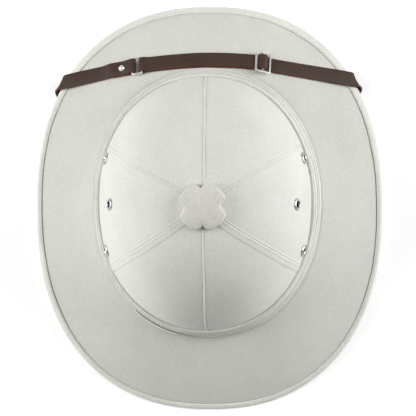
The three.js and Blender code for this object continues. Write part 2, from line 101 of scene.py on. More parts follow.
SEAM_TOP = math.radians(80)     # the climb at which the seams flatten under the button
SEAM_PITCH = 2.5 * MM           # one stitch and its space
FELLED_WIDTH = 6.4 * MM         # the folded edge under the cloth beside a seam
STITCH_LINE = 2.1 * MM          # from a seam to its row of stitches
RIDGE_REACH = 1 * MM            # half the width of a seam's ridge
GROOVE_REACH = 0.5 * MM         # half the width of the seam's groove and of the pull along its stitches
STITCH_PULL = 0.1               # depth of that pull in millimetres
PANEL_COLUMNS = 112
PANEL_ROWS = 120
PANEL_GAP = 0.04 * MM           # between two panels' cloth
PATH_STEPS = 900                # a row of stitches follows its line in this many steps

BRIM_COLUMNS = 420
SEWN_GROOVE = 0.25 * MM         # depth of the brim's cloth along the binding's sewn edge
TAPE_NOSE = 2.8 * MM            # radius of the binding round the brim's edge
TAPE_THICKNESS = 1 * MM
TAPE_NARROW = 3.3 * MM          # visible width at the sides and the back
TAPE_WIDE = 5.8 * MM            # visible width at the front
TAPE_EXTRA = 1.1 * MM           # wider still round two corners
TAPE_PITCH = 2.7 * MM
TAPE_STITCH_INSET = 1.15 * MM   # from the tape's sewn edge to its stitches
TAPE_STITCH_HEIGHT = 2.45 * MM
# the tape's sewn edge on top: millimetres out from the edge and up from the middle of the brim
TAPE_SEWN_EDGE = [(0, 1.85), (-0.1, 2.05), (0.1, 2.3), (0.4, 2.44), (0.8, 2.5), (1.15, 2.42), (1.5, 2.6)]

BAND_TOP_CLIMB = math.radians(12.5)    # how far up the crown it reaches
BAND_FOOT_CLIMB = math.radians(0.5)
BAND_FOOT_THICKNESS = 3.5 * MM
BAND_TOP_THICKNESS = 1.3 * MM
BAND_DROP = 1.15 * MM           # from the crown's base down to the brim
BAND_COLUMNS = 440
PLEATS = 4
PLEAT_FOLD = 0.8 * MM           # how far a fold's lip stands out
# one fold from the crease at its foot, up its face, over its lip and down into the next crease:
# how far up the fold, and how far out as a part of its depth
FOLD_ROWS = [(-0.08, 0.12), (0.0, 0.3), (0.1, 0.45), (0.25, 0.62), (0.4, 0.75), (0.55, 0.86), (0.7, 0.95),
             (0.84, 1.0), (0.93, 0.97), (0.985, 0.82), (1.0, 0.62), (0.98, 0.42), (0.95, 0.28)]
# over the top of the band and down behind it: shares of its height and millimetres from the crown
BAND_BACK = [(0.985, 1.3), (1.0, 0.8), (1.0, 0.2), (0.97, -0.3), (0.7, -0.3), (0.35, -0.3), (0.0, -0.3)]
LOOSE_END_FROM = math.radians(236)
LOOSE_END_TO = math.radians(264)

EYELET_TURNS = {"front": (24.5, 16.1), "middle": (0, 31.6), "back": (-25.5, 16.1)}   # degrees round and up
EYELET_TUBE = 3.1 * MM          # outer radius of the part that goes through the cloth
PANEL_HOLE = 3.4 * MM
# an eyelet's section round its wall, from the back of its hole over the washer and the rolled flange:
# radius and height over the cloth in millimetres
EYELET_SECTION = [(2.5, -3.6), (2.8, -3.9), (3.9, -3.9), (4.2, -3.6), (3.9, -3.3), (3.1, -3.2), (3.1, -0.1),
                  (4.8, 0), (5, 0.25), (4.88, 0.62), (4.5, 0.98), (4, 1.26), (3.5, 1.36), (3.05, 1.2),
                  (2.72, 0.8), (2.5, 0.2)]

LOBE_RADIUS = 18.5 * MM
LOBE_SKEW = 0.5 * MM            # the button is this much narrower in front and wider behind
NOTCHES = [   # at: degrees round from the right; depth in millimetres; half_width in degrees
    {"at": 0, "depth": 5.0, "half_width": 21, "power": 1.0},
    {"at": 96, "depth": 4.2, "half_width": 18, "power": 1.0},
    {"at": 186, "depth": 4.3, "half_width": 20, "power": 1.0},
    {"at": 271, "depth": 4.0, "half_width": 24, "power": 2.0},
]
# the button's section from the middle of its foot over its edge to its top:
# shares of the radius and of the height
BUTTON_SECTION = [(0, 0.14), (0.5, 0.1), (0.9, 0), (0.975, 0.02), (1, 0.09), (1.005, 0.22), (1, 0.36),
                  (0.988, 0.47), (0.965, 0.55), (0.93, 0.61), (0.87, 0.67), (0.78, 0.74), (0.66, 0.81),
                  (0.52, 0.88), (0.38, 0.935), (0.25, 0.97), (0.12, 0.992), (0, 1)]

STRAP_WIDTH = 12.6 * MM
STRAP_THICKNESS = 1.6 * MM
RIVET_HEAD = 1.5 * MM
# the rivet from the end of its shank over its domed head: radius and height over the leather in millimetres
RIVET_SECTION = [(0, -2.2), (1, -2.2), (1, -0.1), (2.45, -0.1), (2.6, 0.1), (2.5, 0.55), (2.1, 1),
                 (1.4, 1.32), (0.7, 1.46), (0, 1.5)]

# ---- the studio ----
CAMERA_EYE = Vector((0.041, 0.006, 1.21))
CAMERA_AIM = Vector((-0.0007, 0, 0.008))
CAMERA_SENSOR = 36              # millimetres
VIEW_TO_RIM = 1.2035            # the view's width as a part of the helmet's
TAPE_OVERHANG = 2 * MM          # the binding beyond the brim on each side
LIGHTS = [   # place and size in metres, power in watts; all of them look at the helmet
    {"name": "left_softbox", "place": (-1.95, 0.13, 1.08), "size": 1.6, "power": 53.5, "colour": (1, 1, 1)},
    {"name": "right_softbox", "place": (1.94, 0.5, 1.06), "size": 1.6, "power": 56.5, "colour": (1, 1, 1)},
    {"name": "back_softbox", "place": (-0.9, -2, 0.8), "size": 1.6, "power": 2, "colour": (1, 0.94, 0.78)},
    {"name": "overhead_softbox", "place": (-0.2, 0.9, 2.4), "size": 1.8, "power": 12, "colour": (1, 1, 1)},
]
LIGHTS_AIM = Vector((0, 0, 0.05))
WORLD_STRENGTH = 0.045
FLOOR_GREY = 0.93
FLOOR_GLOW = 0.22               # lifts the floor to a clean white


# ---- the camera ----
def add_camera():
    """A camera over the helmet, turned so that the helmet's front is at the top of the view."""
    rim_width = brim_high.x - brim_low.x + 2 * TAPE_OVERHANG
    camera = bpy.data.cameras.new("camera")
    viewer = bpy.data.objects.new("camera", camera)
    bpy.context.scene.collection.objects.link(viewer)
    distance = (CAMERA_EYE - CAMERA_AIM).length
    camera.lens = CAMERA_SENSOR * distance / (VIEW_TO_RIM * rim_width)
    camera.sensor_width = CAMERA_SENSOR
    back = (CAMERA_EYE - CAMERA_AIM).normalized()
    right = Vector((0, 1, 0)).cross(back).normalized()
    up = back.cross(right)
    turn = Matrix((right, up, back)).transposed()
    viewer.matrix_world = Matrix.Translation(CAMERA_EYE) @ turn.to_4x4()
    bpy.context.scene.camera = viewer


# ---- small helpers ----
def mix(low, high, share):
    return low + (high - low) * share


def smooth(low, high, value):
    """0 up to low, 1 from high on, and a soft step between them."""
    share = min(max((value - low) / (high - low), 0.0), 1.0)
    return share * share * (3 - 2 * share)


def bump(distance, reach):
    """A round hump: 1 in its middle and 0 at its reach."""
    return max(0.0, 1 - (distance / reach) ** 2) ** 2


def outline(angle, half_width, half_length, power):
    """The radius of a rounded oval at an angle."""
    across = abs(math.cos(angle)) / half_width
    along = abs(math.sin(angle)) / half_length
    return (across ** power + along ** power) ** (-1 / power)


def frame_on(surface, first, second):
    """The point, the outward normal and the first direction of a surface."""
    step = 1e-3
    along = (surface(first + step, second) - surface(first - step, second)).normalized()
    across = surface(first, second + step) - surface(first, second - step)
    return surface(first, second), along.cross(across).normalized(), along


def new_piece(name, form, finish, slot, *nodes):
    """Makes a bmesh a piece of the helmet. It stands for the CAD nodes that are named last."""
    mesh = bpy.data.meshes.new(name)
    form.to_mesh(mesh)
    form.free()
    piece = bpy.data.objects.new(name, mesh)
    bpy.context.scene.collection.objects.link(piece)
    for material in finish if isinstance(finish, list) else [finish]:
        mesh.materials.append(material)
    mesh.shade_smooth()
    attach(piece, "root")
    if nodes:
        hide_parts(*nodes)
    return piece


def shaped_grid(columns, rows, place, closed=False):
    """A grid whose corners go where place(u, v) says: a point and its two cloth coordinates.
    A closed one is joined to itself both ways."""
    form = bmesh.new()
    bmesh.ops.create_grid(form, x_segments=columns, y_segments=rows, size=0.5)
    layer = form.loops.layers.uv.new("UVMap")
    cloth_at = {}
    for corner in form.verts:
        point, cloth_at[corner] = place(corner.co.x + 0.5, corner.co.y + 0.5)
        corner.co = point
    for face in form.faces:
        for loop in face.loops:
            loop[layer].uv = cloth_at[loop.vert]
    if closed:
        bmesh.ops.remove_doubles(form, verts=form.verts, dist=1e-6)
        bmesh.ops.recalc_face_normals(form, faces=form.faces)
    return form


def keep_crisp(piece, degrees):
    """Shades a piece smooth except over edges that turn by more than an angle."""
    piece.data.set_sharp_from_angle(angle=math.radians(degrees))


def give_wall(piece, thickness):
    """Gives an open surface its thickness inwards, as its own mesh."""
    wall = piece.modifiers.new("wall", "SOLIDIFY")
    wall.thickness = thickness
    wall.offset = -1
    wall.use_even_offset = True
    ready = piece.evaluated_get(bpy.context.evaluated_depsgraph_get())
    mesh = bpy.data.meshes.new_from_object(ready)
    piece.modifiers.clear()
    piece.data = mesh
    keep_crisp(piece, 50)


def merged_copy(node):
    """A copy of a CAD node's mesh with its loose triangles joined."""
    form = bmesh.new()
    form.from_mesh(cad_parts[node].data)
    bmesh.ops.remove_doubles(form, verts=form.verts, dist=1e-6)
    return form


def spun(profile, steps, rim=False):
    """A profile of (radius, height) rows spun round the Z axis."""
    form = bmesh.new()
    corners = [form.verts.new((radius, 0, height)) for radius, height in profile]
    edges = [form.edges.new(pair) for pair in zip(corners, corners[1:])]
    if rim:
        edges.append(form.edges.new((corners[-1], corners[0])))
    bmesh.ops.spin(form, geom=corners + edges, axis=(0, 0, 1), cent=(0, 0, 0),
                   dvec=(0, 0, 0), angle=2 * math.pi, steps=steps, use_merge=True)
    bmesh.ops.remove_doubles(form, verts=form.verts, dist=1e-6)
    bmesh.ops.recalc_face_normals(form, faces=form.faces)
    return form


def stand_on(point, normal):
    """A matrix that puts a piece's Z along a normal at a point."""
    side = Vector((0, 1, 0)).cross(normal).normalized()
    turn = Matrix((side, normal.cross(side), normal)).transposed()
    return Matrix.Translation(point) @ turn.to_4x4()


def in_metres(section):
    """Rows of (radius, height) from millimetres to metres."""
    return [(radius * MM, height * MM) for radius, height in section]


# ---- the surfaces of the crown and the brim ----
def crown_at(angle, climb):
    """A point of the crown: climb is 0 at its base and a right angle at its apex."""
    height = max(math.sin(climb), 0.0) ** SHOULDER
    shrink = (1 - FLARE) * math.cos(climb) + FLARE * (1 - height) ** 3
    radius = shrink * outline(angle, CROWN_HALF_WIDTH, CROWN_HALF_LENGTH, CROWN_POWER)
    return Vector((
        radius * math.cos(angle) - CROWN_LEAN * 4 * height * (1 - height),
        CROWN_CENTRE - APEX_SETBACK * height + radius * math.sin(angle),
        CROWN_BASE + CROWN_RISE * height,
    ))


def edge_lift(angle):
    """How far the brim's edge rises: towards the left and right sides."""
    sideways = abs(math.asin(max(-1, min(1, math.cos(angle)))))
    return EDGE_LIFT * smooth(LIFT_FROM, LIFT_TO, sideways)


def brim_at(angle, inward):
    """A point on top of the brim: inward is 0 at its edge, 1 at the band and more on the ledge under it."""
    slope = min(inward, 1.0)
    edge = outline(angle, BRIM_HALF_WIDTH, BRIM_HALF_LENGTH, BRIM_POWER)
    seat = outline(angle, CROWN_HALF_WIDTH + BAND_FOOT, CROWN_HALF_LENGTH + BAND_FOOT, CROWN_POWER)
    radius = mix(edge, seat, inward)
    height = mix(BRIM_EDGE, BRIM_SEAT, slope) + BRIM_BULGE * slope * (1 - slope)
    return Vector((
        radius * math.cos(angle),
        CROWN_CENTRE * slope + radius * math.sin(angle),
        height + edge_lift(angle) * (1 - slope) ** 2,
    ))


def brim_edge(angle):
    """The middle of the brim's edge, its normal, the way out along the brim and the way round."""
    point, normal, along = frame_on(brim_at, angle, 0.0)
    return point - normal * BRIM_WALL / 2, normal, along.cross(normal).normalized(), along


# ---- finishes ----
class Nodes:
    """Builds a material's nodes: each call makes one, sets its inputs and returns its output."""

    def __init__(self, name):
        self.material = bpy.data.materials.new(name)
        self.material.use_nodes = True
        self.tree = self.material.node_tree
        self.shader = self.tree.nodes["Principled BSDF"]

    def add(self, kind, output=0, settings=None, **inputs):
        node = self.tree.nodes.new(kind)
        for setting, value in (settings or {}).items():
            setattr(node, setting, value)
        for socket, value in inputs.items():
            self.put(node.inputs[socket.replace("_", " ")], value)
        return node.outputs[output]

    def put(self, socket, value):
        if isinstance(value, bpy.types.NodeSocket):
            self.tree.links.new(value, socket)
        else:
            socket.default_value = value

    def math(self, operation, first, second=0.0):
        node = self.tree.nodes.new("ShaderNodeMath")
        node.operation = operation
        self.put(node.inputs[0], first)
        self.put(node.inputs[1], second)
        return node.outputs[0]

    def sum(self, *terms):
        """The sum of outputs, each times its share."""
        total = None
        for source, share in terms:
            part = self.math("MULTIPLY", source, share)
            total = part if total is None else self.math("ADD", total, part)
        return total

    def scaled(self, source, size, turn=0.0):
        return self.add("ShaderNodeMapping", Vector=source, Scale=size, Rotation=(0, 0, turn))

    def object_place(self):
        return self.add("ShaderNodeTexCoord", "Object")

    def cloth_place(self):
        return self.add("ShaderNodeUVMap", settings={"uv_map": "UVMap"})

    def ramp(self, factor, rows):
        """A colour that follows a factor through rows of (position, colour)."""
        node = self.tree.nodes.new("ShaderNodeValToRGB")
        self.put(node.inputs[0], factor)
        stops = node.color_ramp.elements
        while len(stops) < len(rows):
            stops.new(0.5)
        for stop, (position, color) in zip(stops, rows):
            stop.position = position
            stop.color = (*color, 1)
        return node.outputs[0]

    def shade(self, **inputs):
        """Sets the shader's inputs and returns the finished material."""
        for socket, value in inputs.items():
            self.put(self.shader.inputs[socket.replace("_", " ")], value)
        return self.material


def cotton(name, light, dark, twill=0.62 * MM, relief=0.3):
    """Cotton drill: fine diagonal twill over crossed threads, with uneven colour."""
    make = Nodes(name)
    cloth = make.cloth_place()
    ribs = (1 / twill,) * 3
    across = make.add("ShaderNodeTexWave", "Fac", Vector=make.scaled(cloth, ribs),
                      Scale=0.5, Distortion=0.6, Detail=1.0)
    diagonal = make.add("ShaderNodeTexWave", "Fac", Scale=0.5, Distortion=0.9, Detail=2.0,
                        Vector=make.scaled(cloth, ribs, math.radians(52)))
    yarn = make.add("ShaderNodeTexNoise", "Fac", Scale=1.0, Detail=3.0,
                    Vector=make.scaled(cloth, (520, 2600, 1)))
    place = make.object_place()
    patches = make.add("ShaderNodeTexNoise", "Fac", Vector=place, Scale=26.0, Detail=4.0, Roughness=0.6)
    flecks = make.add("ShaderNodeTexNoise", "Fac", Vector=place, Scale=620.0, Detail=3.0)
    ripples = make.add("ShaderNodeTexNoise", "Fac", Vector=place, Scale=95.0, Detail=3.0)
    tone = make.sum((patches, 0.32), (flecks, 0.48), (diagonal, 0.2))
    weave = make.sum((diagonal, 0.6), (across, 0.25), (yarn, 0.4))
    surface = make.add("ShaderNodeBump", Strength=relief, Distance=0.12 * MM, Height=weave)
    slack = make.add("ShaderNodeBump", Strength=0.35, Distance=0.5 * MM, Normal=surface, Height=ripples)
    return make.shade(
        Base_Color=make.ramp(tone, [(0.41, dark), (0.565, light)]),
        Roughness=make.math("ADD", make.math("MULTIPLY", patches, 0.14), 0.8),
        Normal=slack,
        Sheen_Weight=0.12,
        Sheen_Roughness=0.5,
        Specular_IOR_Level=0.25,
    )


def hide(name, light, dark, roughness, grain=1300.0):
    """Finished strap leather with a fine pebbled grain and rubbed places."""
    make = Nodes(name)
    place = make.object_place()
    pebbles = make.add("ShaderNodeTexVoronoi", "Distance", Vector=place, Scale=grain)
    creases = make.add("ShaderNodeTexNoise", "Fac", Vector=place, Scale=420.0, Detail=5.0, Roughness=0.65)
    rubbed = make.add("ShaderNodeTexNoise", "Fac", Vector=place, Scale=70.0, Detail=5.0, Roughness=0.6)
    tone = make.sum((creases, 0.45), (rubbed, 0.55))
    relief = make.sum((pebbles, 0.5), (creases, 1.0))
    return make.shade(
        Base_Color=make.ramp(tone, [(0.32, dark), (0.7, light)]),
        Roughness=make.math("ADD", make.math("MULTIPLY", rubbed, 0.25), roughness),
        Normal=make.add("ShaderNodeBump", Strength=0.35, Distance=0.12 * MM, Height=relief),
        Specular_IOR_Level=0.22,
    )


def plated(name, light, dark, roughness, metal=1.0):
    """Nickel plate with faint tarnish and fine scratches."""
    make = Nodes(name)
    place = make.object_place()
    tarnish = make.add("ShaderNodeTexNoise", "Fac", Vector=place, Scale=240.0, Detail=4.0)
    scratches = make.add("ShaderNodeTexNoise", "Fac", Scale=1.0, Detail=2.0,
                         Vector=make.scaled(place, (900, 5200, 900), math.radians(20)))
    return make.shade(
        Base_Color=make.ramp(tarnish, [(0.35, dark), (0.65, light)]),
        Roughness=make.math("ADD", make.math("MULTIPLY", scratches, 0.16), roughness),
        Normal=make.add("ShaderNodeBump", Strength=0.12, Distance=0.05 * MM, Height=scratches),
        Metallic=metal,
    )


CLOTH = cotton("crown_cotton", (0.63, 0.63, 0.588), (0.535, 0.535, 0.5))
BRIM_CLOTH = cotton("brim_cotton", (0.605, 0.61, 0.565), (0.515, 0.52, 0.48))
TAPE = cotton("binding_tape", (0.695, 0.695, 0.637), (0.6, 0.6, 0.55), 0.8 * MM, 0.35)
BAND_CLOTH = cotton("band_cotton", (0.64, 0.64, 0.595), (0.545, 0.545, 0.505), 0.5 * MM)
BUTTON_CLOTH = cotton("button_cotton", (0.605, 0.6, 0.548), (0.49, 0.48, 0.44))
THREAD = cotton("sewing_thread", (0.5, 0.5, 0.46), (0.36, 0.36, 0.33), 0.3 * MM, 0.5)
LEATHER = hide("strap_leather", (0.062, 0.036, 0.027), (0.037, 0.021, 0.0155), 0.48)
CUT_EDGE = hide("strap_cut_edge", (0.2, 0.072, 0.05), (0.07, 0.028, 0.022), 0.6, 2200.0)
NICKEL = plated("bright_nickel", (0.95, 0.95, 0.94), (0.8, 0.8, 0.79), 0.22, 0.72)
EYELET_NICKEL = plated("eyelet_nickel", (0.6, 0.61, 0.58), (0.4, 0.41, 0.39), 0.26)
# painted shade: a near-black plate on the inside of each eyelet's hole, standing in for the shade in there
EYELET_PAINTED_SHADE = plated("eyelet_inside_painted_shade", (0.09, 0.09, 0.085), (0.04, 0.04, 0.038), 0.55)


# ---- crown panels and their seams ----
def from_axis(point):
    """A point's distance from the upright line through the middle of the crown."""
    return math.hypot(point.x, point.y - CROWN_CENTRE)


def seam_angle(seam, climb):
    """A seam's angle at a height: sewn by hand, so it wanders a little."""
    base = math.radians(seam["angle"])
    wander = 0.55 * MM * math.sin(3.1 * climb + seam["angle"])
    wander += 0.2 * MM * math.sin(9 * climb + 2 * seam["angle"])
    return base + wander / max(from_axis(crown_at(base, climb)), 8 * MM)


def seam_relief(seam, distance):
    """Height of the cloth at a distance counterclockwise from a seam: a felled edge that falls off softly
    on its far side, a ridge beside the seam, the groove of the seam and the pull of its stitches."""
    side = distance * seam["toward"]
    felled = smooth(0.2 * MM, 1.1 * MM, side)
    felled *= 1 - smooth(FELLED_WIDTH - 0.9 * MM, FELLED_WIDTH + 1.1 * MM, side)
    ridge = seam["ridge"] * bump(side - seam["fold"] * MM, RIDGE_REACH)
    groove = seam["groove"] * bump(side, GROOVE_REACH)
    pull = STITCH_PULL * bump(side - STITCH_LINE, GROOVE_REACH)
    return (seam["felled"] * felled + ridge - groove - pull) * MM


def seam_height(seam, distance, climb):
    """The seam's relief, which fades out under the button."""
    return seam_relief(seam, distance) * (1 - smooth(SEAM_TOP, SEAM_TOP + math.radians(6), climb))


def eyelet_frame(side, place):
    """Where an eyelet sits on the crown, its normal and the way round."""
    turn, climb = EYELET_TURNS[place]
    angle = math.radians(turn if side == "right" else 180 - turn)
    return frame_on(crown_at, angle, math.radians(climb))


def close_to_seams(share):
    """Moves the columns of a panel towards its two seams."""
    half = min(share, 1 - share) * 2
    place = 0.5 * (0.2 * half + 0.8 * half ** 2.6)
    return place if share <= 0.5 else 1 - place


def panel_form(first, last):
    """The outer surface of a panel between two seams, with their relief and a slight slackness."""
    def place(u, v):
        climb = TOP_CLIMB * v
        start = seam_angle(first, climb)
        end = seam_angle(last, climb)
        if end < start:
            end += 2 * math.pi
        radius = from_axis(crown_at((start + end) / 2, climb))
        inset = PANEL_GAP / 2 / max(radius, 4 * MM)
        share = close_to_seams(u)
        angle = mix(start + inset, end - inset, share)
        point, normal, _ = frame_on(crown_at, angle, climb)
        from_first = (angle - start) * radius
        from_last = (angle - end) * radius
        height = seam_height(first, from_first, climb) + seam_height(last, from_last, climb)
        height += 0.35 * MM * noise.noise(point * 26) + 0.12 * MM * noise.noise(point * 70)
        across = (share - 0.5) * (end - start) * radius
        return point + normal * height, (across, climb * (CROWN_HALF_LENGTH + CROWN_RISE) / 2)

    return shaped_grid(PANEL_COLUMNS, PANEL_ROWS, place)


def open_holes(form, side):
    """Opens a round hole in a side panel at each eyelet."""
    for place in EYELET_TURNS:
        point, normal, _ = eyelet_frame(side, place)

        def reach(at):
            away = at - point
            return (away - normal * away.dot(normal)).length

        near = [face for face in form.faces if (face.calc_center_median() - point).length < 12 * MM]
        gone = [face for face in near if reach(face.calc_center_median()) < PANEL_HOLE]
        rim = {corner for face in gone for corner in face.verts}
        bmesh.ops.delete(form, geom=gone, context="FACES")
        for corner in rim:
            if corner.is_valid and corner.is_boundary:
                away = corner.co - point
                level = normal * away.dot(normal)
                corner.co = point + level + (away - level).normalized() * PANEL_HOLE


def add_crown():
    """Six cloth panels, with holes for the eyelets in the two at the sides."""
    for name, (first, last) in PANELS.items():
        form = panel_form(SEAMS[first], SEAMS[last])
        if name in ("left", "right"):
            open_holes(form, name)
        panel = new_piece(f"crown_cloth_{name}", form, CLOTH, "cloth", f"crown_panel_{name}")
        give_wall(panel, CROWN_WALL)


def add_stitch(form, point, forward, normal, length, width):
    """One stitch: a short round thread lying on the cloth."""
    across = normal.cross(forward).normalized()
    turn = Matrix((forward, across, normal)).transposed().to_4x4()
    size = Matrix.Diagonal((length / 2, width / 2, width / 3, 1))
    bmesh.ops.create_icosphere(form, subdivisions=1, radius=1,
                               matrix=Matrix.Translation(point) @ turn @ size)


def stitch_row(path, pitch, length, width):
    """Stitches along path(share), which gives a point and a normal, one at each pitch."""
    form = bmesh.new()
    form.loops.layers.uv.new("UVMap")
    samples = [path(step / PATH_STEPS) for step in range(PATH_STEPS + 1)]
    travelled = 0.0
    for (start, _), (end, normal) in zip(samples, samples[1:]):
        travelled += (end - start).length
        if travelled >= pitch:
            travelled -= pitch
            forward = (end - start).normalized()
            add_stitch(form, end, forward, normal, length, width)
    return form


def add_seam_stitches():
    """One row of stitches beside each seam, from the band up to the button."""
    for name, seam in SEAMS.items():
        def path(share):
            climb = mix(BAND_TOP_CLIMB, SEAM_TOP - math.radians(1), share)
            line = seam_angle(seam, climb)
            angle = line + seam["toward"] * STITCH_LINE / from_axis(crown_at(line, climb))
            point, normal, _ = frame_on(crown_at, angle, climb)
            height = seam_relief(seam, seam["toward"] * STITCH_LINE) + 0.05 * MM
            return point + normal * height, normal

        form = stitch_row(path, SEAM_PITCH, length=1.7 * MM, width=0.42 * MM)
        new_piece(f"seam_stitches_{name}", form, THREAD, "cloth")


# ---- brim, binding and their stitches ----
def brim_rows(angle):
    """How far in the rows of the brim lie, from its ledge over the top to the edge, and back below: they
    are close together at the binding's sewn edge. Also where that edge lies, and the slope's length."""
    slope = (brim_at(angle, 1) - brim_at(angle, 0)).length
    line = tape_width(angle)
    plain = [mix(1.0, (line + 3 * MM) / slope, step / 22) for step in range(23)]
    past_line = (2.0, 1.2, 0.85, 0.6, 0.4, 0.2, 0.0, -0.25, -0.7, -1.6)
    sewn = [(line + past * MM) / slope for past in past_line]
    edge = [inset * MM / slope for inset in (2.2, 1.1, 0.4, 0.0)]
    top = [1 + BRIM_LEDGE, 1 + BRIM_LEDGE / 2] + plain + sewn + edge
    under = [inset * MM / slope for inset in (0.0, 0.4, 1.1)]
    under += [mix(0.05, 1 + BRIM_LEDGE, step / 16) for step in range(17)]
    return top, under, line / slope, slope


def add_brim():
    """The cloth-covered brim: its top sags a little and is pulled down along the binding's stitches."""
    rows_at = [brim_rows(2 * math.pi * column / BRIM_COLUMNS) for column in range(BRIM_COLUMNS)]
    top_count = len(rows_at[0][0])
    rows = top_count + len(rows_at[0][1])

    def place(u, v):
        column = round(u * BRIM_COLUMNS) % BRIM_COLUMNS
        angle = 2 * math.pi * column / BRIM_COLUMNS
        top, under, line, slope = rows_at[column]
        step = round(v * rows) % rows
        above = step < top_count
        inward = top[step] if above else under[step - top_count]
        point, normal, _ = frame_on(brim_at, angle, inward)
        if inward > 1:
            normal = Vector((0, 0, 1))
        sag = 0.3 * MM * noise.noise(point * 18)
        sag *= smooth(0, 0.15, inward) * (1 - smooth(0.85, 1, inward))
        sewn = SEWN_GROOVE * bump((inward - line) * slope - 0.3 * MM, 0.4 * MM)
        round_off = 0.6 * MM * (1 - smooth(0.0, 0.8 * MM, inward * slope))
        height = sag - sewn - round_off if above else sag - BRIM_WALL + round_off
        return point + normal * height, (point.x, point.y)

    form = shaped_grid(BRIM_COLUMNS, rows, place, closed=True)
    piece = new_piece("brim_cloth_cover", form, BRIM_CLOTH, "cloth", "brim")
    keep_crisp(piece, 50)


def tape_width(angle):
    """How much of the binding shows on top: more in front and round two corners, and never quite even."""
    front = smooth(0.45, 0.95, math.sin(angle))
    uneven = 0.3 * MM * noise.noise((8 * math.cos(angle), 8 * math.sin(angle), 3))
    corners = TAPE_EXTRA * abs(math.cos(angle - math.radians(32))) ** 8
    return mix(TAPE_NARROW, TAPE_WIDE, front) + corners + uneven


def tape_section(width):
    """The binding's section as rows of (out, up) from the middle of the brim's edge: the sewn edge on top,
    the nose round the brim's edge, the side below, and the pocket that holds the brim."""
    inner = TAPE_NOSE - TAPE_THICKNESS
    nose = [(TAPE_NOSE * math.cos(turn), TAPE_NOSE * math.sin(turn))
            for turn in (math.radians(90 - 15 * step) for step in range(13))]
    pocket = [(inner * 0.6 * math.cos(turn), inner * math.sin(turn))
              for turn in (math.radians(-90 + 30 * step) for step in range(7))]
    top = [(out * MM - width, up * MM) for out, up in TAPE_SEWN_EDGE] + [(-width * 0.4, TAPE_NOSE)]
    under = [(-width * 0.5, -TAPE_NOSE), (0.4 * MM - width, -TAPE_NOSE),
             (-width, 0.3 * MM - TAPE_NOSE), (-width, -inner)]
    return top + nose + under + pocket


def add_binding():
    """The tape folded round the brim's edge. Its nose lies nearly level and doesn't go through the floor."""
    rows = len(tape_section(TAPE_WIDE))

    def place(u, v):
        angle = 2 * math.pi * u
        out, up = tape_section(tape_width(angle))[round(v * rows) % rows]
        centre, normal, outward, _ = brim_edge(angle)
        level = Vector((outward.x, outward.y, 0)).normalized()
        away = outward if out < 0 else level.lerp(outward, 0.3)
        upward = Vector((0, 0, 1)) if out > 0 else normal
        point = centre + away * out + upward * up
        if out > -1.5 * MM:
            point.z = max(point.z, edge_lift(angle))
        if up > 0:
            point += normal * 0.1 * MM * noise.noise(point * 120)
        return point, (angle * (BRIM_HALF_WIDTH + BRIM_HALF_LENGTH) / 2, v * 0.02)

    form = shaped_grid(BRIM_COLUMNS, rows, place, closed=True)
    piece = new_piece("brim_binding_tape", form, TAPE, "trim_cloth", "brim_binding")
    keep_crisp(piece, 70)


def add_binding_stitches():
    def path(share):
        angle = 2 * math.pi * share
        centre, normal, outward, _ = brim_edge(angle)
        inside = tape_width(angle) - TAPE_STITCH_INSET
        return centre - outward * inside + normal * TAPE_STITCH_HEIGHT, normal

    form = stitch_row(path, TAPE_PITCH, length=1.8 * MM, width=0.4 * MM)
    new_piece("binding_stitches", form, THREAD, "trim_cloth")


# ---- the pleated hat band ----
def pleat_edges(angle):
    """Where the folds lie across the band, from its foot to its top: they wander on the way round."""
    drift = [0.05 * math.sin(2 * angle + 0.7 * fold) + 0.035 * math.sin(5 * angle + 2.1 * fold)
             for fold in range(1, PLEATS)]
    return [0.0] + [fold / PLEATS + drift[fold - 1] for fold in range(1, PLEATS)] + [1.0]


def fold_depth(angle, fold):
    """How far out a fold's lip stands: the pleats are pinched here and there."""
    return PLEAT_FOLD * (0.9 + 0.25 * math.sin(3 * angle + 1.9 * fold) * math.cos(2 * angle - fold))


def band_rows(angle):
    """The band's section as rows of (share of its height, distance from the crown)."""
    edges = pleat_edges(angle)
    rows = []
    for fold in range(PLEATS):
        high = edges[fold + 1] - edges[fold]
        for up, out in FOLD_ROWS:
            share = edges[fold] + max(up, 0.0 if fold == 0 else -1.0) * high
            body = mix(BAND_FOOT_THICKNESS, BAND_TOP_THICKNESS, min(share, 1.0)) - 0.35 * MM
            last_crease = fold == PLEATS - 1 and up > 0.8 and out < 0.9
            if not last_crease:
                rows.append((share, body + fold_depth(angle, fold) * out))
    rows.extend((share, out * MM) for share, out in BAND_BACK)
    return rows


def band_point(angle, share, height):
    """A point of the band: share is 0 at its foot on the brim and 1 at its top."""
    climb = mix(BAND_FOOT_CLIMB, BAND_TOP_CLIMB, share)
    point, normal, _ = frame_on(crown_at, angle, climb)
    point.z -= BAND_DROP * (1 - smooth(0.0, 0.1, share))
    return point + normal * height


def add_band():
    """The pleated band: its section runs round the foot of the crown."""
    rows = len(band_rows(0))

    def place(u, v):
        angle = 2 * math.pi * u
        step = round(v * rows) % rows
        share, out = band_rows(angle)[step]
        if out > 0:
            out += 0.2 * MM * noise.noise((9 * math.cos(angle), 9 * math.sin(angle), 4 * share))
        girth = angle * (CROWN_HALF_WIDTH + CROWN_HALF_LENGTH) / 2
        return band_point(angle, share, out), (girth, step / rows * 0.04)

    form = shaped_grid(BAND_COLUMNS, rows, place, closed=True)
    piece = new_piece("hat_band_pleats", form, BAND_CLOTH, "trim_cloth", "hat_band")
    keep_crisp(piece, 70)


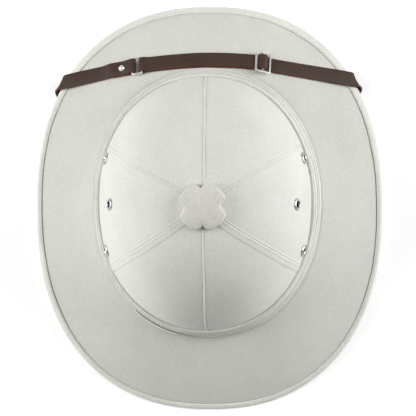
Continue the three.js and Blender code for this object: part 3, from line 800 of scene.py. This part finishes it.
def add_band_end():
    """The band's loose end, a flat roll folded over the lowest pleat at the back on the left."""
    def place(u, v):
        turn = 2 * math.pi * v
        taper = smooth(0.0, 0.06, u) * (1 - smooth(0.72, 1.0, u))
        angle = mix(LOOSE_END_FROM, LOOSE_END_TO, u)
        half_width = mix(0.08, 0.136, taper)
        share = 0.2 - 0.02 * u + half_width * math.cos(turn)
        body = mix(BAND_FOOT_THICKNESS, BAND_TOP_THICKNESS, share) + 0.45 * MM
        height = body + mix(0.05, 0.62, taper) * MM * (1 + math.sin(turn))
        return band_point(angle, share, height), (u * 0.05, v * 0.02)

    form = shaped_grid(columns=70, rows=20, place=place)
    bmesh.ops.remove_doubles(form, verts=form.verts, dist=1e-6)
    bmesh.ops.holes_fill(form, edges=form.edges, sides=0)
    bmesh.ops.recalc_face_normals(form, faces=form.faces)
    new_piece("hat_band_loose_end", form, BAND_CLOTH, "trim_cloth")


# ---- the cloth button on the apex ----
def lobe_notch(angle):
    """Depth of the pinches between the lobes: a plain V, or one whose sides flare where its power is 2."""
    depth = 0.0
    for notch in NOTCHES:
        away = abs((math.degrees(angle) - notch["at"] + 180) % 360 - 180)
        depth += notch["depth"] * MM * max(0.0, 1 - away / notch["half_width"]) ** notch["power"]
    return depth


def add_button():
    """The cloth button: its section spun round, drawn in between its lobes and a little wrinkled."""
    low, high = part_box("crown_button")
    apex = Vector(((low.x + high.x) / 2, (low.y + high.y) / 2, low.z))
    rise = high.z - low.z
    form = spun(BUTTON_SECTION, 200)
    layer = form.loops.layers.uv.new("UVMap")
    for corner in form.verts:
        share = math.hypot(corner.co.x, corner.co.y)
        angle = math.atan2(corner.co.y, corner.co.x)
        notch = lobe_notch(angle)
        reach = LOBE_RADIUS - notch * smooth(0.62, 1.0, share) - LOBE_SKEW * math.sin(angle) * share
        radius = share * reach
        pinch = 0.08 * notch * share ** 4
        lobe = 0.25 * MM * share ** 2 * math.sin(2 * angle) ** 2
        wrinkle = 0.35 * MM * noise.noise((2.4 * corner.co.x, 2.4 * corner.co.y, 7))
        droop = 1 - 0.06 * share ** 2
        relief = (lobe - pinch + wrinkle) * smooth(0.0, 0.6, corner.co.z)
        height = corner.co.z * rise * droop + relief
        corner.co = apex + Vector((radius * math.cos(angle), radius * math.sin(angle), height))
    for face in form.faces:
        for loop in face.loops:
            spot = loop.vert.co
            loop[layer].uv = (spot.x * 0.8 + spot.z * 0.3, spot.y * 0.8 - spot.z * 0.3)
    new_piece("apex_button_cloth", form, BUTTON_CLOTH, "cloth", "crown_button")


# ---- eyelets ----
def add_eyelets():
    """Rolled eyelets with a dull inside painted near-black as shade, and a washer behind the wall."""
    for side in ("left", "right"):
        for place in EYELET_TURNS:
            point, normal, _ = eyelet_frame(side, place)
            form = spun(in_metres(EYELET_SECTION), 48, rim=True)
            for face in form.faces:
                middle = face.calc_center_median()
                # faces inside the hole take the near-black plate: painted shade
                inside = math.hypot(middle.x, middle.y) < EYELET_TUBE and middle.z < 0.3 * MM
                face.material_index = 1 if inside else 0
            bmesh.ops.transform(form, matrix=stand_on(point, normal), verts=form.verts)
            finish = [EYELET_NICKEL, EYELET_PAINTED_SHADE]
            new_piece(f"eyelet_ring_{side}_{place}", form, finish, "nickel", f"eyelet_{side}_{place}")


# ---- the leather chin strap and its fittings ----
def is_cut_edge(face, holes):
    """True for the narrow sides of the strap, seen from the lengths of a triangle's edges. Slivers
    round a drilled hole have short edges too, and so faces nearer to a hole than the sides don't count."""
    lengths = [edge.calc_length() for edge in face.edges]
    narrow = any(abs(length - STRAP_THICKNESS) < 0.12 * MM for length in lengths)
    middle = face.calc_center_median()
    away = min((middle - hole).length for hole in holes)
    return narrow and max(lengths) < STRAP_WIDTH * 0.9 and away > STRAP_WIDTH * 0.47


def round_edges(form, angle, width):
    """Rounds every edge that turns by more than an angle in degrees."""
    sharp = [edge for edge in form.edges
             if len(edge.link_faces) == 2 and edge.calc_face_angle() > math.radians(angle)]
    bmesh.ops.bevel(form, geom=sharp, offset=width, segments=2, affect="EDGES",
                    profile=0.5, material=-1, clamp_overlap=True)


def add_strap(side):
    """A leather of the chin strap with rounded edges and reddish cut sides."""
    form = merged_copy(f"strap_{side}")
    drilled = [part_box(node) for node in ("strap_rivet", "strap_stud_left", "strap_stud_right")]
    holes = [(low + high) / 2 for low, high in drilled]
    for face in form.faces:
        face.material_index = 1 if is_cut_edge(face, holes) else 0
    bmesh.ops.join_triangles(form, faces=form.faces, cmp_materials=True,
                             angle_face_threshold=math.radians(25),
                             angle_shape_threshold=math.radians(60))
    round_edges(form, 60, 0.3 * MM)
    finish = [LEATHER, CUT_EDGE]
    piece = new_piece(f"chin_strap_{side}", form, finish, "leather", f"strap_{side}")
    keep_crisp(piece, 60)


def add_fittings():
    """The ring and the slider with their edges rounded."""
    for node, name in (("strap_ring", "join_ring_wire"), ("strap_slider", "slider_frame")):
        form = merged_copy(node)
        bmesh.ops.dissolve_limit(form, angle_limit=math.radians(1), verts=form.verts, edges=form.edges)
        round_edges(form, 30, 0.16 * MM)
        piece = new_piece(name, form, NICKEL, "nickel", node)
        keep_crisp(piece, 40)


def add_rivet():
    """The domed rivet, standing as the CAD's does: on the line between its highest and lowest points."""
    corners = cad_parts["strap_rivet"].data.vertices
    top = max(corners, key=lambda corner: corner.co.z).co
    bottom = min(corners, key=lambda corner: corner.co.z).co
    normal = (top - bottom).normalized()
    form = spun(in_metres(RIVET_SECTION), 40)
    bmesh.ops.transform(form, matrix=stand_on(top - normal * RIVET_HEAD, normal), verts=form.verts)
    new_piece("rivet_cap", form, NICKEL, "nickel", "strap_rivet")


def finish_carried_nodes():
    """The hidden post and studs stay as the CAD has them, in nickel."""
    for node in ("button_post", "strap_stud_left", "strap_stud_right"):
        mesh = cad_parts[node].data
        mesh.materials.clear()
        mesh.materials.append(NICKEL)


# ---- floor and light ----
def add_floor():
    form = bmesh.new()
    bmesh.ops.create_grid(form, x_segments=1, y_segments=1, size=4.0)
    mesh = bpy.data.meshes.new("floor")
    form.to_mesh(mesh)
    form.free()
    floor = bpy.data.objects.new("floor", mesh)
    finish = Nodes("pale_floor").shade(
        Base_Color=(FLOOR_GREY, FLOOR_GREY, FLOOR_GREY, 1),
        Roughness=0.9,
        Emission_Color=(1, 1, 1, 1),
        Emission_Strength=FLOOR_GLOW,
    )
    mesh.materials.append(finish)
    mesh.transform(Matrix.Translation((0, 0, -0.1 * MM)))   # just clear of the helmet's lowest point
    bpy.context.scene.collection.objects.link(floor)


def add_light(name, place, size, power, colour):
    lamp = bpy.data.lights.new(name, "AREA")
    lamp.shape = "DISK"
    lamp.size = size
    lamp.energy = power
    lamp.color = colour
    light = bpy.data.objects.new(name, lamp)
    bpy.context.scene.collection.objects.link(light)
    light.location = place
    light.rotation_euler = (LIGHTS_AIM - Vector(place)).to_track_quat("-Z", "Y").to_euler()


def add_lights():
    for row in LIGHTS:
        add_light(**row)
    world = bpy.data.worlds.new("studio")
    world.use_nodes = True
    background = world.node_tree.nodes["Background"]
    background.inputs["Color"].default_value = (1, 1, 1, 1)
    background.inputs["Strength"].default_value = WORLD_STRENGTH
    bpy.context.scene.world = world
    bpy.context.scene.view_settings.view_transform = "Standard"


add_camera()
add_crown()
add_seam_stitches()
add_brim()
add_binding()
add_binding_stitches()
add_band()
add_band_end()
add_button()
add_eyelets()
for strap_side in ("left", "right"):
    add_strap(strap_side)
add_fittings()
add_rivet()
finish_carried_nodes()
add_floor()
add_lights()
